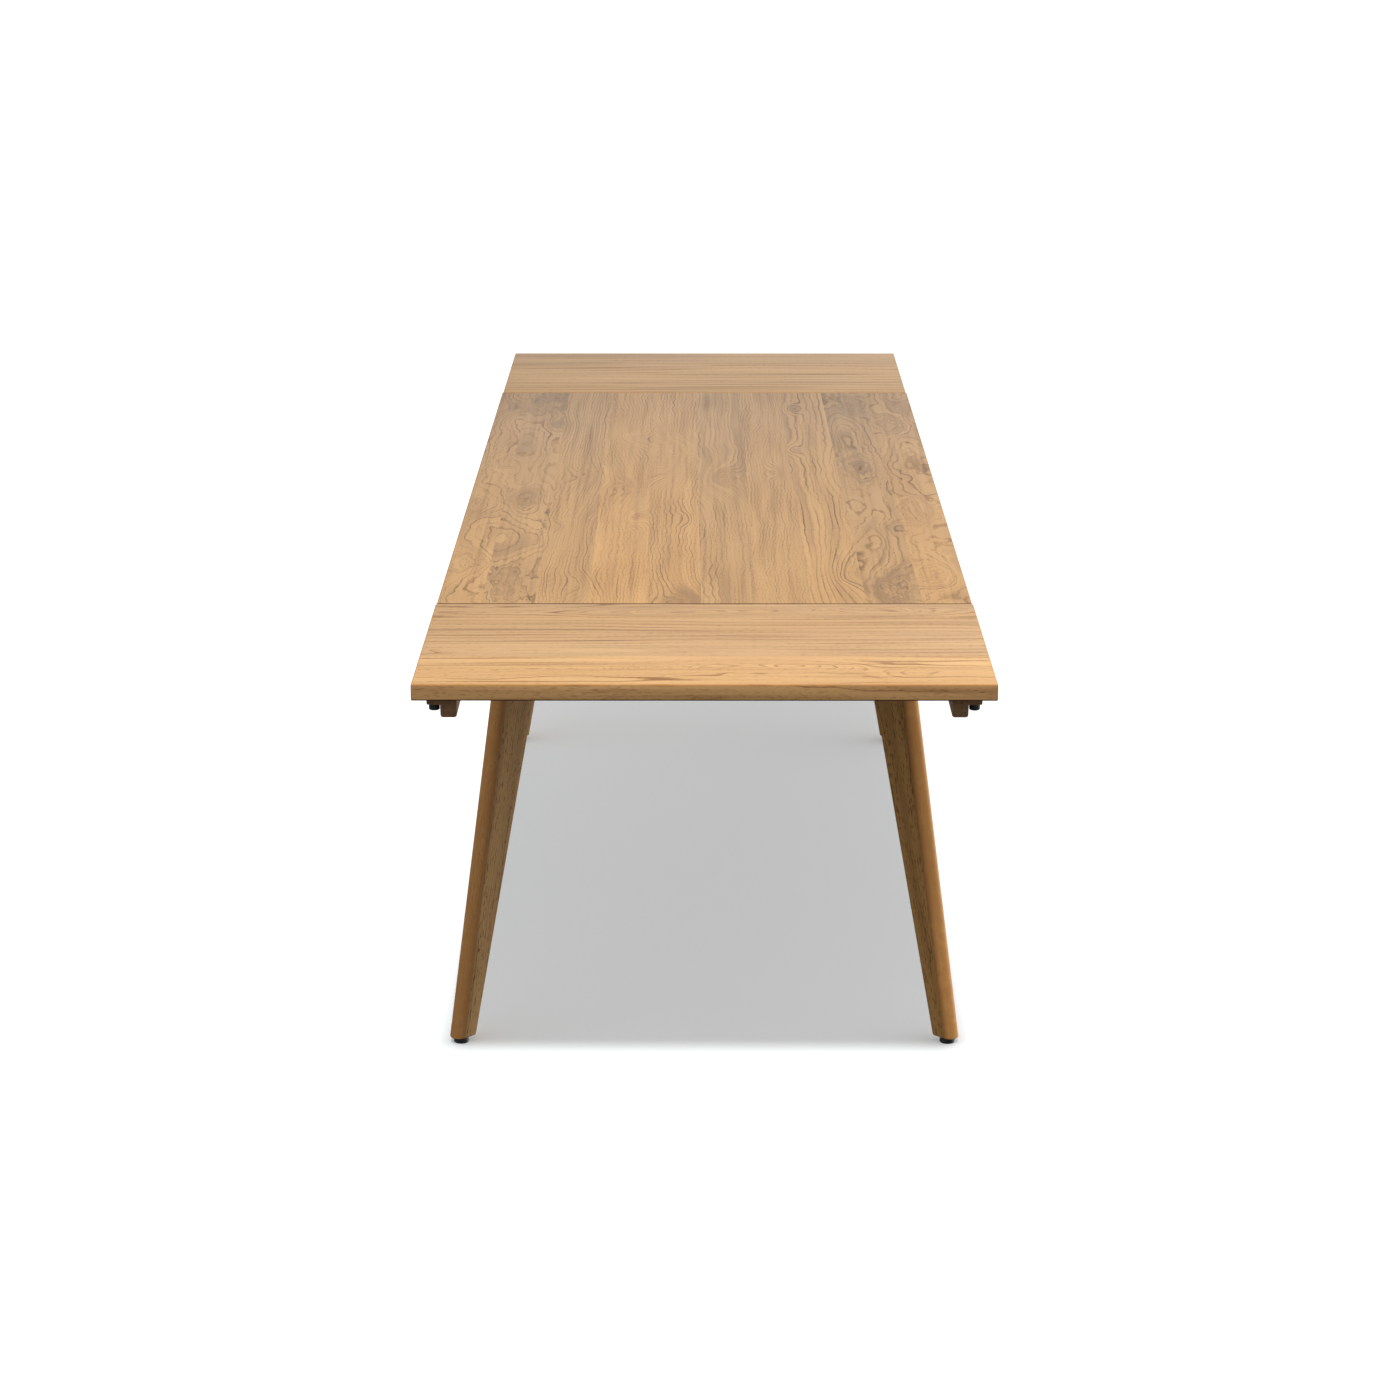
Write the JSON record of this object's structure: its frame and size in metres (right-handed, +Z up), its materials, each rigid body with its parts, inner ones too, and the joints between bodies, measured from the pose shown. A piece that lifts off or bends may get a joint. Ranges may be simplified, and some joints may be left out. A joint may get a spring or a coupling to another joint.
{
  "type": "extendable dining table",
  "caption": "Long oak dining table on splayed blade legs, with a lift-off leaf at each end carried by pull-out rails with clamping knobs.",
  "frame": {"origin": "on the floor under the middle of the table", "axes": "+Z up, Y along the table with the front end at -Y, X across it"},
  "size_m": [0.85, 2.75, 0.75],
  "materials": {
    "top_oak": "oiled oak, staves edge-glued, grain lengthwise",
    "leaf_oak": "oiled oak, grain across the table",
    "frame_oak": "oiled oak, darker",
    "rail_oak": "planed oak",
    "beech": "turned beech, unfinished",
    "black_plastic": "moulded, satin",
    "zinc_steel": "zinc plated",
    "brass": "turned"
  },
  "bodies": {
    "table": {"main_top": "top_oak", "cross_rail": "frame_oak", "left_apron": "frame_oak", "right_apron": "frame_oak", "front_apron": "frame_oak", "rear_apron": "frame_oak", "front_left_leg": "frame_oak", "front_right_leg": "frame_oak", "rear_left_leg": "frame_oak", "rear_right_leg": "frame_oak", "front_left_corner_bracket": "zinc_steel", "front_right_corner_bracket": "zinc_steel", "rear_left_corner_bracket": "zinc_steel", "rear_right_corner_bracket": "zinc_steel", "front_left_leg_bolt_upper": "zinc_steel", "front_left_leg_bolt_lower": "zinc_steel", "front_right_leg_bolt_upper": "zinc_steel", "front_right_leg_bolt_lower": "zinc_steel", "rear_left_leg_bolt_upper": "zinc_steel", "rear_left_leg_bolt_lower": "zinc_steel", "rear_right_leg_bolt_upper": "zinc_steel", "rear_right_leg_bolt_lower": "zinc_steel", "front_left_foot_insert": "zinc_steel", "front_right_foot_insert": "zinc_steel", "rear_left_foot_insert": "zinc_steel", "rear_right_foot_insert": "zinc_steel", "front_left_top_clip": "zinc_steel", "front_right_top_clip": "zinc_steel", "rear_left_top_clip": "zinc_steel", "rear_right_top_clip": "zinc_steel", "left_outer_guide": "rail_oak", "left_inner_guide": "rail_oak", "right_outer_guide": "rail_oak", "right_inner_guide": "rail_oak"},
    "front_leaf_assembly": {"front_leaf": "leaf_oak", "front_left_dowel": "beech", "front_left_leaf_insert": "brass", "front_right_dowel": "beech", "front_right_leaf_insert": "brass"},
    "rear_leaf_assembly": {"rear_leaf": "leaf_oak", "rear_left_dowel": "beech", "rear_left_leaf_insert": "brass", "rear_right_dowel": "beech", "rear_right_leaf_insert": "brass"},
    "front_left_rail_assembly": {"front_left_rail": "rail_oak", "front_left_stop_peg": "beech"},
    "front_left_knob_screw": {"front_left_knob": "black_plastic"},
    "front_left_glide_foot": {"front_left_glide": "black_plastic"},
    "front_right_rail_assembly": {"front_right_rail": "rail_oak", "front_right_stop_peg": "beech"},
    "front_right_knob_screw": {"front_right_knob": "black_plastic"},
    "front_right_glide_foot": {"front_right_glide": "black_plastic"},
    "rear_left_rail_assembly": {"rear_left_rail": "rail_oak", "rear_left_stop_peg": "beech"},
    "rear_left_knob_screw": {"rear_left_knob": "black_plastic"},
    "rear_left_glide_foot": {"rear_left_glide": "black_plastic"},
    "rear_right_rail_assembly": {"rear_right_rail": "rail_oak", "rear_right_stop_peg": "beech"},
    "rear_right_knob_screw": {"rear_right_knob": "black_plastic"},
    "rear_right_glide_foot": {"rear_right_glide": "black_plastic"}
  },
  "joints": [
    {"name": "front_leaf_pull_off", "type": "slide", "parent": "table", "child": "front_leaf_assembly", "axis": [0, -1, 0], "range_m": [0, 0.5]},
    {"name": "rear_leaf_pull_off", "type": "slide", "parent": "table", "child": "rear_leaf_assembly", "axis": [0, 1, 0], "range_m": [0, 0.5]},
    {"name": "front_left_rail_push_in", "type": "slide", "parent": "table", "child": "front_left_rail_assembly", "axis": [0, 1, 0], "range_m": [0, 0.475]},
    {"name": "front_left_knob_screw_in", "type": "slide", "parent": "front_left_rail_assembly", "child": "front_left_knob_screw", "axis": [0, 0, 1], "range_m": [0, 0.005]},
    {"name": "front_left_glide_screw_out", "type": "slide", "parent": "table", "child": "front_left_glide_foot", "axis": [0, 0, -1], "range_m": [0, 0.012]},
    {"name": "front_right_rail_push_in", "type": "slide", "parent": "table", "child": "front_right_rail_assembly", "axis": [0, 1, 0], "range_m": [0, 0.475]},
    {"name": "front_right_knob_screw_in", "type": "slide", "parent": "front_right_rail_assembly", "child": "front_right_knob_screw", "axis": [0, 0, 1], "range_m": [0, 0.005]},
    {"name": "front_right_glide_screw_out", "type": "slide", "parent": "table", "child": "front_right_glide_foot", "axis": [0, 0, -1], "range_m": [0, 0.012]},
    {"name": "rear_left_rail_push_in", "type": "slide", "parent": "table", "child": "rear_left_rail_assembly", "axis": [0, -1, 0], "range_m": [0, 0.475]},
    {"name": "rear_left_knob_screw_in", "type": "slide", "parent": "rear_left_rail_assembly", "child": "rear_left_knob_screw", "axis": [0, 0, 1], "range_m": [0, 0.005]},
    {"name": "rear_left_glide_screw_out", "type": "slide", "parent": "table", "child": "rear_left_glide_foot", "axis": [0, 0, -1], "range_m": [0, 0.012]},
    {"name": "rear_right_rail_push_in", "type": "slide", "parent": "table", "child": "rear_right_rail_assembly", "axis": [0, -1, 0], "range_m": [0, 0.475]},
    {"name": "rear_right_knob_screw_in", "type": "slide", "parent": "rear_right_rail_assembly", "child": "rear_right_knob_screw", "axis": [0, 0, 1], "range_m": [0, 0.005]},
    {"name": "rear_right_glide_screw_out", "type": "slide", "parent": "table", "child": "rear_right_glide_foot", "axis": [0, 0, -1], "range_m": [0, 0.012]}
  ]
}
